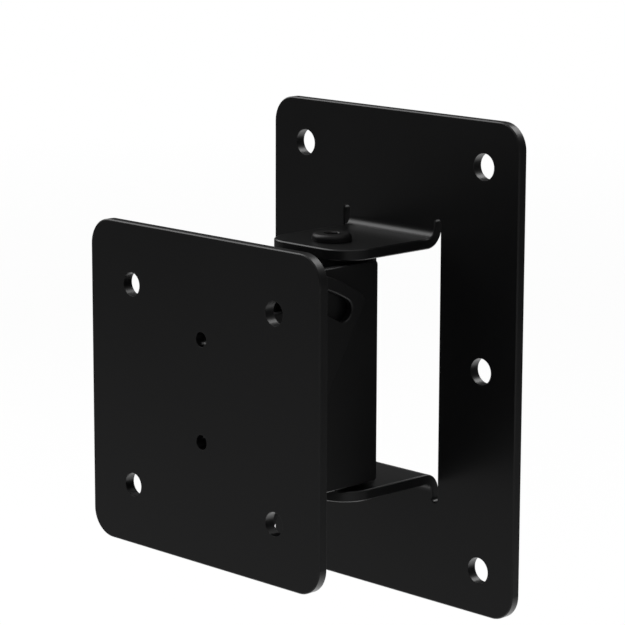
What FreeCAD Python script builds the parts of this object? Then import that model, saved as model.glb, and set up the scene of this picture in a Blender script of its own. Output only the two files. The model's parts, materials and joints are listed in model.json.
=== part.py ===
import FreeCAD, Part
import math
import os
import Sketcher
from FreeCAD import Placement, Rotation, Vector

# Speaker wall bracket: a wall plate with two bent tabs, a hub that swivels between them,
# and a slotted bracket with a square plate that tilts in front of the hub.
# +Z is up, the wall is the plane y = 0, the origin is the centre of the wall plate's back.

os.makedirs("parts", exist_ok=True)
doc = FreeCAD.newDocument("speaker_wall_bracket")
sheet = doc.addObject("Spreadsheet::Sheet", "sizes")
rows = []
pieces = []


class Size(float):
    """A number that remembers which cells of the sheet it comes from."""

    def __new__(cls, value, text):
        made = float.__new__(cls, value)
        made.text = text
        return made

    def __add__(self, other):
        return Size(float(self) + float(other), f"({self.text} + {words(other)})")

    __radd__ = __add__

    def __sub__(self, other):
        return Size(float(self) - float(other), f"({self.text} - {words(other)})")

    def __rsub__(self, other):
        return Size(float(other) - float(self), f"({words(other)} - {self.text})")

    def __mul__(self, other):
        return Size(float(self) * float(other), f"({self.text} * {words(other)})")

    __rmul__ = __mul__

    def __truediv__(self, other):
        return Size(float(self) / float(other), f"({self.text} / {words(other)})")

    def __neg__(self):
        return Size(-float(self), f"(0 - {self.text})")


def words(number):
    """The text of a number in a formula of the sheet."""
    return number.text if isinstance(number, Size) else repr(float(number))


def size(name, value):
    """Keep one driving size in the sheet under its own name."""
    rows.append(name)
    sheet.set(f"A{len(rows)}", name)
    sheet.set(f"B{len(rows)}", str(value))
    sheet.setAlias(f"B{len(rows)}", name)
    return Size(value, f"sizes.{name}")


# Wall plate and its tabs
wall_plate_width = size("wall_plate_width", 127.0)
wall_plate_height = size("wall_plate_height", 186.0)
wall_plate_thickness = size("wall_plate_thickness", 4.0)
wall_plate_corner = size("wall_plate_corner", 10.0)
wall_hole_diameter = size("wall_hole_diameter", 10.0)
wall_holes_across = size("wall_holes_across", 92.6)
wall_holes_up = size("wall_holes_up", 152.0)
window_width = size("window_width", 50.2)
relief_width = size("relief_width", 2.8)
relief_depth = size("relief_depth", 3.6)
tab_bend_radius = size("tab_bend_radius", 3.35)
tab_beyond_pivot = size("tab_beyond_pivot", 15.0)
tab_corner = size("tab_corner", 12.0)
edge_break = size("edge_break", 0.4)

# Swivel hub
swivel_from_wall = size("swivel_from_wall", 35.5)
tube_diameter = size("tube_diameter", 33.0)
tube_wall = size("tube_wall", 4.0)
tube_length = size("tube_length", 83.0)
bush_flange = size("bush_flange", 1.5)
bush_rim_inset = size("bush_rim_inset", 0.6)
bush_depth = size("bush_depth", 10.0)
barrel_diameter = size("barrel_diameter", 10.0)
running_clearance = size("running_clearance", 0.05)
barrel_recess = size("barrel_recess", 0.2)
swivel_thread = size("swivel_thread", 6.0)
swivel_screw_length = size("swivel_screw_length", 30.0)
thread_clearance = size("thread_clearance", 0.05)
bolt_clearance = size("bolt_clearance", 0.2)

# Low screw heads, washers and nuts
head_diameter = size("head_diameter", 15.0)
head_height = size("head_height", 2.8)
head_bevel = size("head_bevel", 0.7)
socket_across = size("socket_across", 5.0)
socket_depth = size("socket_depth", 1.8)
screw_tip_chamfer = size("screw_tip_chamfer", 0.6)
tilt_thread = size("tilt_thread", 8.0)
nut_across = size("nut_across", 13.0)
nut_height = size("nut_height", 6.5)
thread_beyond_nut = size("thread_beyond_nut", 1.0)
spacer_diameter = size("spacer_diameter", 16.0)
spacer_thickness = size("spacer_thickness", 1.0)
lock_spacer_diameter = size("lock_spacer_diameter", 14.0)
lock_washer_thickness = size("lock_washer_thickness", 1.5)

# Yoke, two flat cheeks welded to the sides of the hub tube
yoke_thickness = size("yoke_thickness", 3.0)
yoke_past_pivot = size("yoke_past_pivot", 4.7)
yoke_rear_corner = size("yoke_rear_corner", 1.5)
yoke_nose = size("yoke_nose", 10.5)
yoke_foot_corner = size("yoke_foot_corner", 6.0)
yoke_foot_setback = size("yoke_foot_setback", 0.5)
hub_weld_end_gap = size("hub_weld_end_gap", 3.5)
hub_weld_inner = size("hub_weld_inner", 4.0)
hub_weld_outer = size("hub_weld_outer", 9.0)
hub_weld_foot = size("hub_weld_foot", 11.0)
rear_weld_leg = size("rear_weld_leg", 1.6)
rear_weld_reach = size("rear_weld_reach", 3.4)

# Tilting bracket
pivot_from_wall = size("pivot_from_wall", 81.0)
pivot_drop = size("pivot_drop", 23.0)
pivot_to_web = size("pivot_to_web", 12.6)
bracket_thickness = size("bracket_thickness", 3.0)
bracket_bend_radius = size("bracket_bend_radius", 2.0)
slot_radius = size("slot_radius", 57.0)
slot_width = size("slot_width", 8.4)
slot_front_angle = size("slot_front_angle", -5.5)
slot_rear_angle = size("slot_rear_angle", 30.0)
lock_angle = size("lock_angle", 6.5)
slot_land = size("slot_land", 4.8)
ear_rear_land = size("ear_rear_land", 7.75)
ear_rear_angle = size("ear_rear_angle", 30.9)
ear_corner = size("ear_corner", 3.0)
ear_foot_corner = size("ear_foot_corner", 5.0)
ear_foot_gap = size("ear_foot_gap", 0.6)
bracket_weld_leg = size("bracket_weld_leg", 2.2)
bracket_weld_length = size("bracket_weld_length", 30.0)

# Speaker plate
speaker_plate_side = size("speaker_plate_side", 120.0)
speaker_plate_thickness = size("speaker_plate_thickness", 4.0)
speaker_plate_corner = size("speaker_plate_corner", 10.0)
speaker_plate_drop = size("speaker_plate_drop", 3.7)
speaker_hole_diameter = size("speaker_hole_diameter", 8.8)
speaker_holes_apart = size("speaker_holes_apart", 75.0)
small_hole_diameter = size("small_hole_diameter", 5.5)
small_holes_apart = size("small_holes_apart", 37.5)
small_holes_rise = size("small_holes_rise", 0.25)

# Places that several pieces share
tab_inner = tube_length / 2 + bush_flange + running_clearance
tab_outer = tab_inner + wall_plate_thickness
tab_root = tab_outer + tab_bend_radius
tab_front = swivel_from_wall + tab_beyond_pivot
yoke_rear = swivel_from_wall - yoke_past_pivot
yoke_height = tube_length
hub_weld_length = yoke_height - 2 * hub_weld_end_gap
cheek_inner = tube_diameter / 2
cheek_outer = cheek_inner + yoke_thickness
ear_inner = cheek_outer + spacer_thickness
ear_outer = ear_inner + bracket_thickness
web_front = pivot_from_wall + pivot_to_web
web_back = web_front + bracket_thickness
speaker_face = web_back + speaker_plate_thickness
pivot = (-float(pivot_from_wall), -float(pivot_drop))
bracket_blank_height = 4 * slot_radius
slot_outer = slot_radius + slot_width / 2
ear_reach = float(slot_outer + slot_land)
ear_lean = math.radians(ear_rear_angle)
bend_end = float(bracket_thickness + bracket_bend_radius - web_back)
web_top = pivot[1] + ear_reach
foot_centre_y = bend_end + float(ear_foot_gap)
foot_lean = (foot_centre_y - pivot[0]) * math.cos(ear_lean) - (ear_rear_land - ear_foot_corner)
foot_centre = (foot_centre_y, pivot[1] + foot_lean / math.sin(ear_lean))
web_foot = foot_centre[1] - ear_foot_corner
lock_turn = math.radians(lock_angle)
lock_place = (pivot[0] + slot_radius * math.sin(lock_turn), pivot[1] + slot_radius * math.cos(lock_turn))


def body(label, place=Placement()):
    """Start one piece of the bracket."""
    piece = doc.addObject("PartDesign::Body", label)
    piece.Label = label
    piece.Placement = place
    pieces.append(piece)
    return piece


def sketch_on(piece, role, name):
    """Lay a sketch on one of the piece's own origin planes."""
    planes = [plane for plane in piece.Origin.OriginFeatures if plane.Role == role]
    sketch = piece.newObject("Sketcher::SketchObject", name)
    sketch.AttachmentSupport = [(planes[0], "")]
    sketch.MapMode = "FlatFace"
    return sketch


def limit(sketch, constraint, value):
    """Add a sized constraint and tie it to the sheet where its value comes from there."""
    number = sketch.addConstraint(constraint)
    if isinstance(value, Size):
        sketch.setExpression(f"Constraints[{number}]", value.text)


def pin(sketch, element, end, point):
    """Hold one point of a sketch at its distances from the sketch's origin."""
    across = Sketcher.Constraint("DistanceX", -1, 1, element, end, float(point[0]))
    up = Sketcher.Constraint("DistanceY", -1, 1, element, end, float(point[1]))
    limit(sketch, across, point[0])
    limit(sketch, up, point[1])


def flat(point):
    """A sketch point as a vector."""
    return Vector(float(point[0]), float(point[1]), 0)


def circle(sketch, centre, radius):
    """Draw a circle held by its centre and radius."""
    ring = Part.Circle(flat(centre), Vector(0, 0, 1), float(radius))
    element = sketch.addGeometry(ring, False)
    pin(sketch, element, 3, centre)
    limit(sketch, Sketcher.Constraint("Radius", element, float(radius)), radius)


def outline(sketch, start, steps):
    """Draw a closed outline; a step is a corner to reach, or an arc's centre, turn and end."""
    here = start
    drawn = []
    for step in steps:
        there = step[-1] if len(step) == 3 else step
        if len(step) == 3:
            element, ends = draw_arc(sketch, here, *step)
        else:
            element = sketch.addGeometry(Part.LineSegment(flat(here), flat(there)), False)
            ends = (1, 2)
        drawn.append((element, ends, here))
        here = there
    for index, (element, ends, corner) in enumerate(drawn):
        before, before_ends = drawn[index - 1][:2]
        sketch.addConstraint(Sketcher.Constraint("Coincident", before, before_ends[1], element, ends[0]))
        pin(sketch, element, ends[0], corner)


def draw_arc(sketch, start, centre, turn, end):
    """Draw an arc, counterclockwise for a turn of 1, and hold the centre coordinate its ends leave free."""
    angles = [math.atan2(point[1] - centre[1], point[0] - centre[0]) for point in (start, end)]
    if turn < 0:
        angles.reverse()
    if angles[1] < angles[0]:
        angles[1] += 2 * math.pi
    radius = math.hypot(start[0] - centre[0], start[1] - centre[1])
    whole = Part.Circle(flat(centre), Vector(0, 0, 1), radius)
    element = sketch.addGeometry(Part.ArcOfCircle(whole, angles[0], angles[1]), False)
    upright = abs(end[0] - start[0]) > abs(end[1] - start[1])
    held = centre[1] if upright else centre[0]
    axis = "DistanceY" if upright else "DistanceX"
    limit(sketch, Sketcher.Constraint(axis, -1, 1, element, 3, float(held)), held)
    return element, (1, 2) if turn > 0 else (2, 1)


def rounded_box(sketch, left, right, low, high, corner):
    """Draw a rectangle with rounded corners."""
    outline(
        sketch,
        (left + corner, low),
        [
            (right - corner, low),
            ((right - corner, low + corner), 1, (right, low + corner)),
            (right, high - corner),
            ((right - corner, high - corner), 1, (right - corner, high)),
            (left + corner, high),
            ((left + corner, high - corner), 1, (left, high - corner)),
            (left, low + corner),
            ((left + corner, low + corner), 1, (left + corner, low)),
        ],
    )


def plain_box(sketch, left, right, low, high):
    """Draw a rectangle."""
    outline(sketch, (left, low), [(right, low), (right, high), (left, high), (left, low)])


def hexagon(sketch, across):
    """Draw a hexagon about the sketch's origin from its width across flats."""
    reach = across / math.sqrt(3)
    half = across / 2
    outline(
        sketch,
        (reach, 0.0),
        [
            (reach / 2, half),
            (-reach / 2, half),
            (-reach, 0.0),
            (-reach / 2, -half),
            (reach / 2, -half),
            (reach, 0.0),
        ],
    )


def pad(piece, sketch, length, both_ways=False, name="pad"):
    """Extrude a sketch, to one side of its plane or half to each side."""
    made = piece.newObject("PartDesign::Pad", name)
    made.Profile = sketch
    made.SideType = "Symmetric" if both_ways else "One side"
    made.Length = float(length)
    if isinstance(length, Size):
        made.setExpression("Length", length.text)
    doc.recompute()
    return made


def cut(piece, sketch, length=None, backwards=False, name="cut"):
    """Cut a sketch out of the piece, right through unless a depth is given."""
    before = piece.Shape.Volume
    made = piece.newObject("PartDesign::Pocket", name)
    made.Profile = sketch
    if length is None:
        made.Type = "ThroughAll"
        made.SideType = "Symmetric"
    else:
        made.Length = float(length)
        made.setExpression("Length", length.text)
        made.Reversed = backwards
    doc.recompute()
    if piece.Shape.Volume >= before - 1e-3:
        raise RuntimeError(f"{piece.Label}: {name} removes nothing")
    return made


def turn(piece, start, steps, name="turned"):
    """Turn a half profile, drawn as radius and height, about the piece's own Z axis."""
    sketch = sketch_on(piece, "XZ_Plane", f"{name}_profile")
    outline(sketch, start, steps)
    made = piece.newObject("PartDesign::Revolution", name)
    made.Profile = sketch
    made.ReferenceAxis = (sketch, ["V_Axis"])
    made.Angle = 360
    doc.recompute()
    return made


def side_of(face, point):
    """The direction that a face looks at one of its points."""
    u, v = face.Surface.parameter(point)
    return face.normalAt(u, v)


def sharp_edges(shape):
    """Names of the edges where two faces meet at an angle, apart from the rims of round holes."""
    names = []
    for number, edge in enumerate(shape.Edges, 1):
        if len(edge.Vertexes) == 1:
            continue
        middle = edge.valueAt((edge.FirstParameter + edge.LastParameter) / 2)
        sides = [side_of(face, middle) for face in shape.ancestorsOfType(edge, Part.Face)]
        if len(sides) == 2 and sides[0].dot(sides[1]) < 0.7:
            names.append(f"Edge{number}")
    return names


def round_off(piece, names, radius, name):
    """Round the named edges of the piece's last feature."""
    base = piece.Tip
    made = piece.newObject("PartDesign::Fillet", name)
    made.Base = (base, names)
    made.Radius = float(radius)
    made.setExpression("Radius", radius.text)
    doc.recompute()


def break_edges(piece, names):
    """Take the sharpness off the named edges of the piece's last feature."""
    base = piece.Tip
    made = piece.newObject("PartDesign::Chamfer", "edge_break")
    made.Base = (base, names)
    made.Size = float(edge_break)
    made.setExpression("Size", edge_break.text)
    doc.recompute()


def polar(centre, radius, degrees):
    """A point at an angle from straight up, turning towards the wall."""
    angle = math.radians(degrees)
    return (centre[0] + radius * math.sin(angle), centre[1] + radius * math.cos(angle))


# Wall plate, one folded sheet
def make_wall_plate():
    piece = body("wall_plate")
    half_width = wall_plate_width / 2
    half_height = wall_plate_height / 2
    blank = sketch_on(piece, "XZ_Plane", "blank_outline")
    rounded_box(blank, -half_width, half_width, -half_height, half_height, wall_plate_corner)
    pad(piece, blank, wall_plate_thickness, name="blank")

    window = sketch_on(piece, "XZ_Plane", "window_outline")
    plain_box(window, -window_width / 2, window_width / 2, -tab_root, tab_root)
    cut(piece, window, name="window")

    reliefs = sketch_on(piece, "XZ_Plane", "relief_outlines")
    for side in (-1, 1):
        for level in (-1, 1):
            relief_outline(reliefs, side, level)
    cut(piece, reliefs, name="reliefs")

    fold = sketch_on(piece, "YZ_Plane", "tab_side")
    tab_side(fold)
    tab = pad(piece, fold, window_width - 2 * relief_width, both_ways=True, name="upper_tab")
    lower = piece.newObject("PartDesign::Mirrored", "lower_tab")
    lower.Originals = [tab]
    level = [plane for plane in piece.Origin.OriginFeatures if plane.Role == "XY_Plane"]
    lower.MirrorPlane = (level[0], [""])
    piece.Tip = lower
    doc.recompute()

    front = [
        f"Edge{number}"
        for number, edge in enumerate(piece.Shape.Edges, 1)
        if abs(edge.CenterOfMass.y + tab_front) < 1e-6 and abs(edge.tangentAt(edge.FirstParameter).z) > 0.99
    ]
    round_off(piece, front, tab_corner, name="tab_corners")

    holes = sketch_on(piece, "XZ_Plane", "wall_hole_circles")
    for side in (-0.5, 0.5):
        for level in (-0.5, 0.0, 0.5):
            circle(holes, (wall_holes_across * side, wall_holes_up * level), wall_hole_diameter / 2)
    cut(piece, holes, name="wall_holes")
    bores = sketch_on(piece, "XY_Plane", "swivel_hole_circle")
    circle(bores, (0.0, -swivel_from_wall), barrel_diameter / 2 + bolt_clearance)
    cut(piece, bores, name="swivel_holes")

    break_edges(piece, sharp_edges(piece.Shape))


def relief_outline(sketch, side, level):
    """Relief slot beside a tab's bend, with a round end."""
    outer = window_width / 2
    inner = outer - relief_width
    middle = outer - relief_width / 2
    start = tab_root + relief_depth - relief_width / 2
    foot = tab_root - relief_width
    outline(
        sketch,
        (inner * side, foot * level),
        [
            (inner * side, start * level),
            ((middle * side, start * level), -side * level, (outer * side, start * level)),
            (outer * side, foot * level),
            (inner * side, foot * level),
        ],
    )


def tab_side(sketch):
    """Side view of a tab: the bend out of the plate and the flat run to the front."""
    bend = tab_bend_radius + wall_plate_thickness
    outline(
        sketch,
        (0.0, tab_root),
        [
            ((-bend, tab_root), -1, (-bend, tab_inner)),
            (-tab_front, tab_inner),
            (-tab_front, tab_outer),
            (-bend, tab_outer),
            ((-bend, tab_root), 1, (-wall_plate_thickness, tab_root)),
            (0.0, tab_root),
        ],
    )


# Swivel screw, barrel nut and bushes on the vertical axis
def low_head_screw(label, place, thread, length):
    """Screw with a low round head; its seat is at z = 0 and its head above it."""
    piece = body(label, place)
    rim = head_diameter / 2
    turn(
        piece,
        (0.0, -length),
        [
            (thread / 2 - screw_tip_chamfer, -length),
            (thread / 2, screw_tip_chamfer - length),
            (thread / 2, 0.0),
            (rim, 0.0),
            (rim, head_height - head_bevel),
            (rim - head_bevel, head_height),
            (0.0, head_height),
            (0.0, -length),
        ],
    )
    socket = sketch_on(piece, "XY_Plane", "socket_outline")
    socket.AttachmentOffset = Placement(Vector(0, 0, float(head_height)), Rotation())
    socket.setExpression("AttachmentOffset.Base.z", head_height.text)
    hexagon(socket, socket_across)
    cut(piece, socket, socket_depth, name="socket")


def make_barrel_nut(place):
    """Barrel with a low head; the seat is at z = 0, the head above it and the barrel below it."""
    piece = body("swivel_barrel_nut", place)
    rim = head_diameter / 2
    barrel = barrel_diameter / 2
    bore = swivel_thread / 2 + thread_clearance
    length = 2 * tab_outer - barrel_recess
    depth = swivel_screw_length + barrel_diameter / 2
    turn(
        piece,
        (0.0, depth - length),
        [
            (bore, depth - length),
            (bore, -length),
            (barrel, -length),
            (barrel, 0.0),
            (rim, 0.0),
            (rim, head_height - head_bevel),
            (rim - head_bevel, head_height),
            (0.0, head_height),
            (0.0, depth - length),
        ],
    )
    socket = sketch_on(piece, "XY_Plane", "socket_outline")
    socket.AttachmentOffset = Placement(Vector(0, 0, float(head_height)), Rotation())
    socket.setExpression("AttachmentOffset.Base.z", head_height.text)
    hexagon(socket, socket_across)
    cut(piece, socket, socket_depth, name="socket")


def make_bush(label, place):
    """Flanged bush; its flange stands on the tube's end at z = 0 and its sleeve hangs inside."""
    piece = body(label, place)
    bore = barrel_diameter / 2 + running_clearance
    sleeve = tube_diameter / 2 - tube_wall
    rim = tube_diameter / 2 - bush_rim_inset
    turn(
        piece,
        (bore, -bush_depth),
        [
            (sleeve, -bush_depth),
            (sleeve, 0.0),
            (rim, 0.0),
            (rim, bush_flange),
            (bore, bush_flange),
            (bore, -bush_depth),
        ],
    )


def make_tube():
    """Hub tube about the swivel axis."""
    piece = body("swivel_tube", Placement(Vector(0, -swivel_from_wall, 0), Rotation()))
    rings = sketch_on(piece, "XY_Plane", "tube_rings")
    circle(rings, (0.0, 0.0), tube_diameter / 2)
    circle(rings, (0.0, 0.0), tube_diameter / 2 - tube_wall)
    pad(piece, rings, tube_length, both_ways=True, name="tube")
    outer = [
        f"Edge{number}"
        for number, edge in enumerate(piece.Shape.Edges, 1)
        if len(edge.Vertexes) == 1 and edge.Curve.Radius > tube_diameter / 2 - tube_wall / 2
    ]
    break_edges(piece, outer)


def make_swivel():
    """Everything on the vertical axis."""
    axis = -swivel_from_wall
    upside_down = Rotation(Vector(1, 0, 0), 180)
    make_tube()
    make_bush("upper_bush", Placement(Vector(0, axis, tube_length / 2), Rotation()))
    make_bush("lower_bush", Placement(Vector(0, axis, -tube_length / 2), upside_down))
    low_head_screw(
        "swivel_screw", Placement(Vector(0, axis, tab_outer), Rotation()), swivel_thread, swivel_screw_length
    )
    make_barrel_nut(Placement(Vector(0, axis, -tab_outer), upside_down))


# Yoke cheeks and the folded bracket
def channel(sketch, back, half_width, thickness, inner_radius, front):
    """Plan view of a folded channel: its back, two bends and two sides that end at the front."""
    outer_radius = inner_radius + thickness
    inside = half_width - thickness
    tangent_line = back + outer_radius
    inner_back = back + thickness
    outer_centre = half_width - outer_radius
    outline(
        sketch,
        (-outer_centre, back),
        [
            (outer_centre, back),
            ((outer_centre, tangent_line), 1, (half_width, tangent_line)),
            (half_width, front),
            (inside, front),
            (inside, tangent_line),
            ((outer_centre, tangent_line), -1, (outer_centre, inner_back)),
            (-outer_centre, inner_back),
            ((-outer_centre, tangent_line), -1, (-inside, tangent_line)),
            (-inside, front),
            (-half_width, front),
            (-half_width, tangent_line),
            ((-outer_centre, tangent_line), 1, (-outer_centre, back)),
        ],
    )


def belt(sketch, circles):
    """Draw the outline of a belt around circles, given counterclockwise as centre and radius."""
    touches = []
    for index, (centre, radius) in enumerate(circles):
        following, following_radius = circles[(index + 1) % len(circles)]
        touches.append(tangent(centre, radius, following, following_radius))
    steps = []
    for index, (centre, radius) in enumerate(circles):
        leave = touches[index][0]
        if radius > 0:
            steps.append((centre, 1, leave))
        steps.append(touches[index][1])
    outline(sketch, touches[-1][1], steps)


def tangent(first, first_radius, second, second_radius):
    """Where a line that keeps two circles on its left touches them."""
    run = math.hypot(second[0] - first[0], second[1] - first[1])
    heading = math.atan2(second[1] - first[1], second[0] - first[0])
    heading -= math.asin((second_radius - first_radius) / run)
    right = (math.sin(heading), -math.cos(heading))
    return (
        (first[0] + first_radius * right[0], first[1] + first_radius * right[1]),
        (second[0] + second_radius * right[0], second[1] + second_radius * right[1]),
    )


def cross_holes(piece, holes, name):
    """Drill round holes, given by centre and radius in side view, through both sides."""
    circles = sketch_on(piece, "YZ_Plane", f"{name}_circles")
    for centre, radius in holes:
        circle(circles, centre, radius)
    cut(piece, circles, name=name)


def make_cheek(label, right):
    """Flat side plate from behind the swivel axis to the tilt pivot, as tall as the hub tube."""
    inner = float(cheek_inner)
    piece = body(label, Placement(Vector(inner if right else -float(cheek_outer), 0, 0), Rotation()))
    top = float(yoke_height) / 2
    corner = float(yoke_rear_corner)
    behind = -float(yoke_rear) - corner
    foot_radius = float(yoke_foot_corner)
    foot = (pivot[0] + float(yoke_foot_setback) + foot_radius, foot_radius - top)
    side = sketch_on(piece, "YZ_Plane", "side_outline")
    belt(
        side,
        [
            ((behind, corner - top), corner),
            ((behind, top - corner), corner),
            (lock_place, top - lock_place[1]),
            (pivot, float(yoke_nose)),
            (foot, foot_radius),
        ],
    )
    pad(piece, side, yoke_thickness, name="plate")
    loose = tilt_thread / 2 + bolt_clearance
    cross_holes(piece, [(pivot, loose), (lock_place, loose)], "screw_holes")
    break_edges(piece, sharp_edges(piece.Shape))


def make_bracket():
    """Channel with two ears; each has a pivot hole and an arc slot about it."""
    piece = body("tilt_bracket")
    plan = sketch_on(piece, "XY_Plane", "bracket_plan")
    channel(plan, -web_back, ear_outer, bracket_thickness, bracket_bend_radius, -swivel_from_wall)
    pad(piece, plan, bracket_blank_height, both_ways=True, name="channel")

    side = sketch_on(piece, "YZ_Plane", "side_outline")
    around_ear(side)
    cut(piece, side, name="side_trim")
    slots = sketch_on(piece, "YZ_Plane", "slot_outline")
    arc_slot(slots)
    cut(piece, slots, name="arc_slots")
    running = tilt_thread / 2 + running_clearance
    cross_holes(piece, [(pivot, running)], "pivot_holes")
    drill_small_holes(piece, small_holes_rise)
    break_edges(piece, sharp_edges(piece.Shape))


def around_ear(sketch):
    """Waste outside the bracket's side view: straight web, arc above the slot, sloping rear edge."""
    reach = float(web_front + slot_radius)
    above = float(bracket_blank_height)
    plain_box(sketch, -reach, 0.0, -above, above)
    along = (math.sin(ear_lean), math.cos(ear_lean))
    rearward = (math.cos(ear_lean), -math.sin(ear_lean))
    corner = float(ear_corner)
    inset = float(ear_rear_land) - corner
    rise = math.sqrt((ear_reach - corner) ** 2 - inset ** 2)
    centre = tuple(pivot[i] + inset * rearward[i] + rise * along[i] for i in (0, 1))
    stretch = ear_reach / (ear_reach - corner)
    corner_top = tuple(pivot[i] + (centre[i] - pivot[i]) * stretch for i in (0, 1))
    corner_low = tuple(centre[i] + corner * rearward[i] for i in (0, 1))
    foot_end = tuple(foot_centre[i] + ear_foot_corner * rearward[i] for i in (0, 1))
    front = -float(speaker_face)
    outline(
        sketch,
        (front, web_foot),
        [
            (foot_centre_y, web_foot),
            (foot_centre, 1, foot_end),
            corner_low,
            (centre, 1, corner_top),
            (pivot, 1, (pivot[0], web_top)),
            (front, web_top),
            (front, web_foot),
        ],
    )


def arc_slot(sketch):
    """Slot about the tilt pivot with round ends."""
    inner = slot_radius - slot_width / 2
    front = polar(pivot, slot_radius, slot_front_angle)
    rear = polar(pivot, slot_radius, slot_rear_angle)
    front_inner = polar(pivot, inner, slot_front_angle)
    outline(
        sketch,
        front_inner,
        [
            (pivot, -1, polar(pivot, inner, slot_rear_angle)),
            (rear, 1, polar(pivot, slot_outer, slot_rear_angle)),
            (pivot, 1, polar(pivot, slot_outer, slot_front_angle)),
            (front, 1, front_inner),
        ],
    )


def drill_small_holes(piece, centre_height):
    """Two small holes, one above the other."""
    holes = sketch_on(piece, "XZ_Plane", "small_hole_circles")
    for step in (-0.5, 0.5):
        circle(holes, (0.0, centre_height + small_holes_apart * step), small_hole_diameter / 2)
    cut(piece, holes, name="small_holes")


def make_speaker_plate():
    """Square plate with its back at y = 0 in its own frame."""
    place = Placement(Vector(0, -float(web_back), -float(speaker_plate_drop)), Rotation())
    piece = body("speaker_plate", place)
    half = speaker_plate_side / 2
    blank = sketch_on(piece, "XZ_Plane", "plate_outline")
    rounded_box(blank, -half, half, -half, half, speaker_plate_corner)
    pad(piece, blank, speaker_plate_thickness, name="plate")
    holes = sketch_on(piece, "XZ_Plane", "speaker_hole_circles")
    for side in (-0.5, 0.5):
        for level in (-0.5, 0.5):
            centre = (speaker_holes_apart * side, speaker_holes_apart * level)
            circle(holes, centre, speaker_hole_diameter / 2)
    cut(piece, holes, name="speaker_holes")
    drill_small_holes(piece, small_holes_rise + speaker_plate_drop)
    break_edges(piece, sharp_edges(piece.Shape))


# Screws, washers, spacers and nuts across the yoke
def ring(label, place, outer, inner, thickness):
    """Flat washer with one face at z = 0."""
    piece = body(label, place)
    rings = sketch_on(piece, "XY_Plane", "washer_rings")
    circle(rings, (0.0, 0.0), outer)
    circle(rings, (0.0, 0.0), inner)
    pad(piece, rings, thickness, name="washer")


def hexagon_nut(label, place):
    """Nut with its seat at z = 0 and bevelled corners."""
    piece = body(label, place)
    flats = sketch_on(piece, "XY_Plane", "nut_outline")
    hexagon(flats, nut_across)
    circle(flats, (0.0, 0.0), tilt_thread / 2 + thread_clearance)
    pad(piece, flats, nut_height, name="nut")
    bevel = sketch_on(piece, "XZ_Plane", "bevel_profile")
    start = nut_across / 2
    out = nut_across / math.sqrt(3)
    fall = (out - start) * math.tan(math.radians(30))
    over = out + fall
    drop = fall * float(over - start) / float(out - start)
    outline(
        bevel,
        (start, nut_height),
        [(over, nut_height - drop), (over, nut_height), (start, nut_height)],
    )
    before = piece.Shape.Volume
    made = piece.newObject("PartDesign::Groove", "bevel")
    made.Profile = bevel
    made.ReferenceAxis = (bevel, ["V_Axis"])
    made.Angle = 360
    doc.recompute()
    if piece.Shape.Volume >= before:
        raise RuntimeError(f"{label}: the bevel removes nothing")


def across(distance, seen_from_side, right):
    """Place a piece on a cross axis, its own z pointing outwards, at a distance from the middle."""
    outward = 1 if right else -1
    turned = Rotation(Vector(0, 1, 0), 90 * outward)
    return Placement(Vector(outward * float(distance), seen_from_side[0], seen_from_side[1]), turned)


def make_cross_screws(side, right):
    """Pivot and lock screw of one side with their washers, spacers and nuts."""
    washer_hole = tilt_thread / 2 + bolt_clearance
    grip = ear_outer - cheek_outer + yoke_thickness + nut_height + thread_beyond_nut
    inward = cheek_outer - yoke_thickness - nut_height
    lock_seat = ear_outer + lock_washer_thickness
    low_head_screw(f"{side}_tilt_pivot_screw", across(ear_outer, pivot, right), tilt_thread, grip)
    ring(
        f"{side}_pivot_spacer",
        across(cheek_outer, pivot, right),
        spacer_diameter / 2,
        washer_hole,
        spacer_thickness,
    )
    hexagon_nut(f"{side}_tilt_pivot_nut", across(inward, pivot, right))
    low_head_screw(
        f"{side}_lock_screw", across(lock_seat, lock_place, right), tilt_thread, grip + lock_washer_thickness
    )
    ring(
        f"{side}_lock_washer",
        across(ear_outer, lock_place, right),
        spacer_diameter / 2,
        washer_hole,
        lock_washer_thickness,
    )
    ring(
        f"{side}_lock_spacer",
        across(cheek_outer, lock_place, right),
        lock_spacer_diameter / 2,
        washer_hole,
        spacer_thickness,
    )
    hexagon_nut(f"{side}_lock_nut", across(inward, lock_place, right))


# Weld beads
def make_hub_weld(label, right):
    """Bead that fills the corner between the round tube and the front of a cheek's inner face."""
    piece = body(label)
    outward = 1.0 if right else -1.0
    radius = float(tube_diameter) / 2
    axis = -float(swivel_from_wall)
    inner = float(hub_weld_inner)
    outer = float(hub_weld_outer)
    inner_x = outward * math.sqrt(radius ** 2 - inner ** 2)
    outer_x = outward * math.sqrt(radius ** 2 - outer ** 2)
    face = outward * float(cheek_inner)
    plan = sketch_on(piece, "XY_Plane", "bead_plan")
    outline(
        plan,
        (face, axis - inner),
        [
            (face, axis - hub_weld_foot),
            (outer_x, axis - outer),
            ((0.0, axis), outward, (inner_x, axis - inner)),
            (face, axis - inner),
        ],
    )
    pad(piece, plan, hub_weld_length, both_ways=True, name="bead")


def make_rear_weld(label, right):
    """Bead between the rear edge of a cheek and the round tube."""
    piece = body(label)
    outward = 1.0 if right else -1.0
    radius = float(tube_diameter) / 2
    axis = -float(swivel_from_wall)
    edge = float(yoke_past_pivot)
    reach = edge + float(rear_weld_reach)
    edge_x = outward * math.sqrt(radius ** 2 - edge ** 2)
    reach_x = outward * math.sqrt(radius ** 2 - reach ** 2)
    face = outward * float(cheek_inner + edge_break)
    plan = sketch_on(piece, "XY_Plane", "bead_plan")
    outline(
        plan,
        (face, axis + edge),
        [
            (face + outward * rear_weld_leg, axis + edge),
            (reach_x, axis + reach),
            ((0.0, axis), -outward, (edge_x, axis + edge)),
            (face, axis + edge),
        ],
    )
    pad(piece, plan, hub_weld_length, both_ways=True, name="bead")


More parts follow.
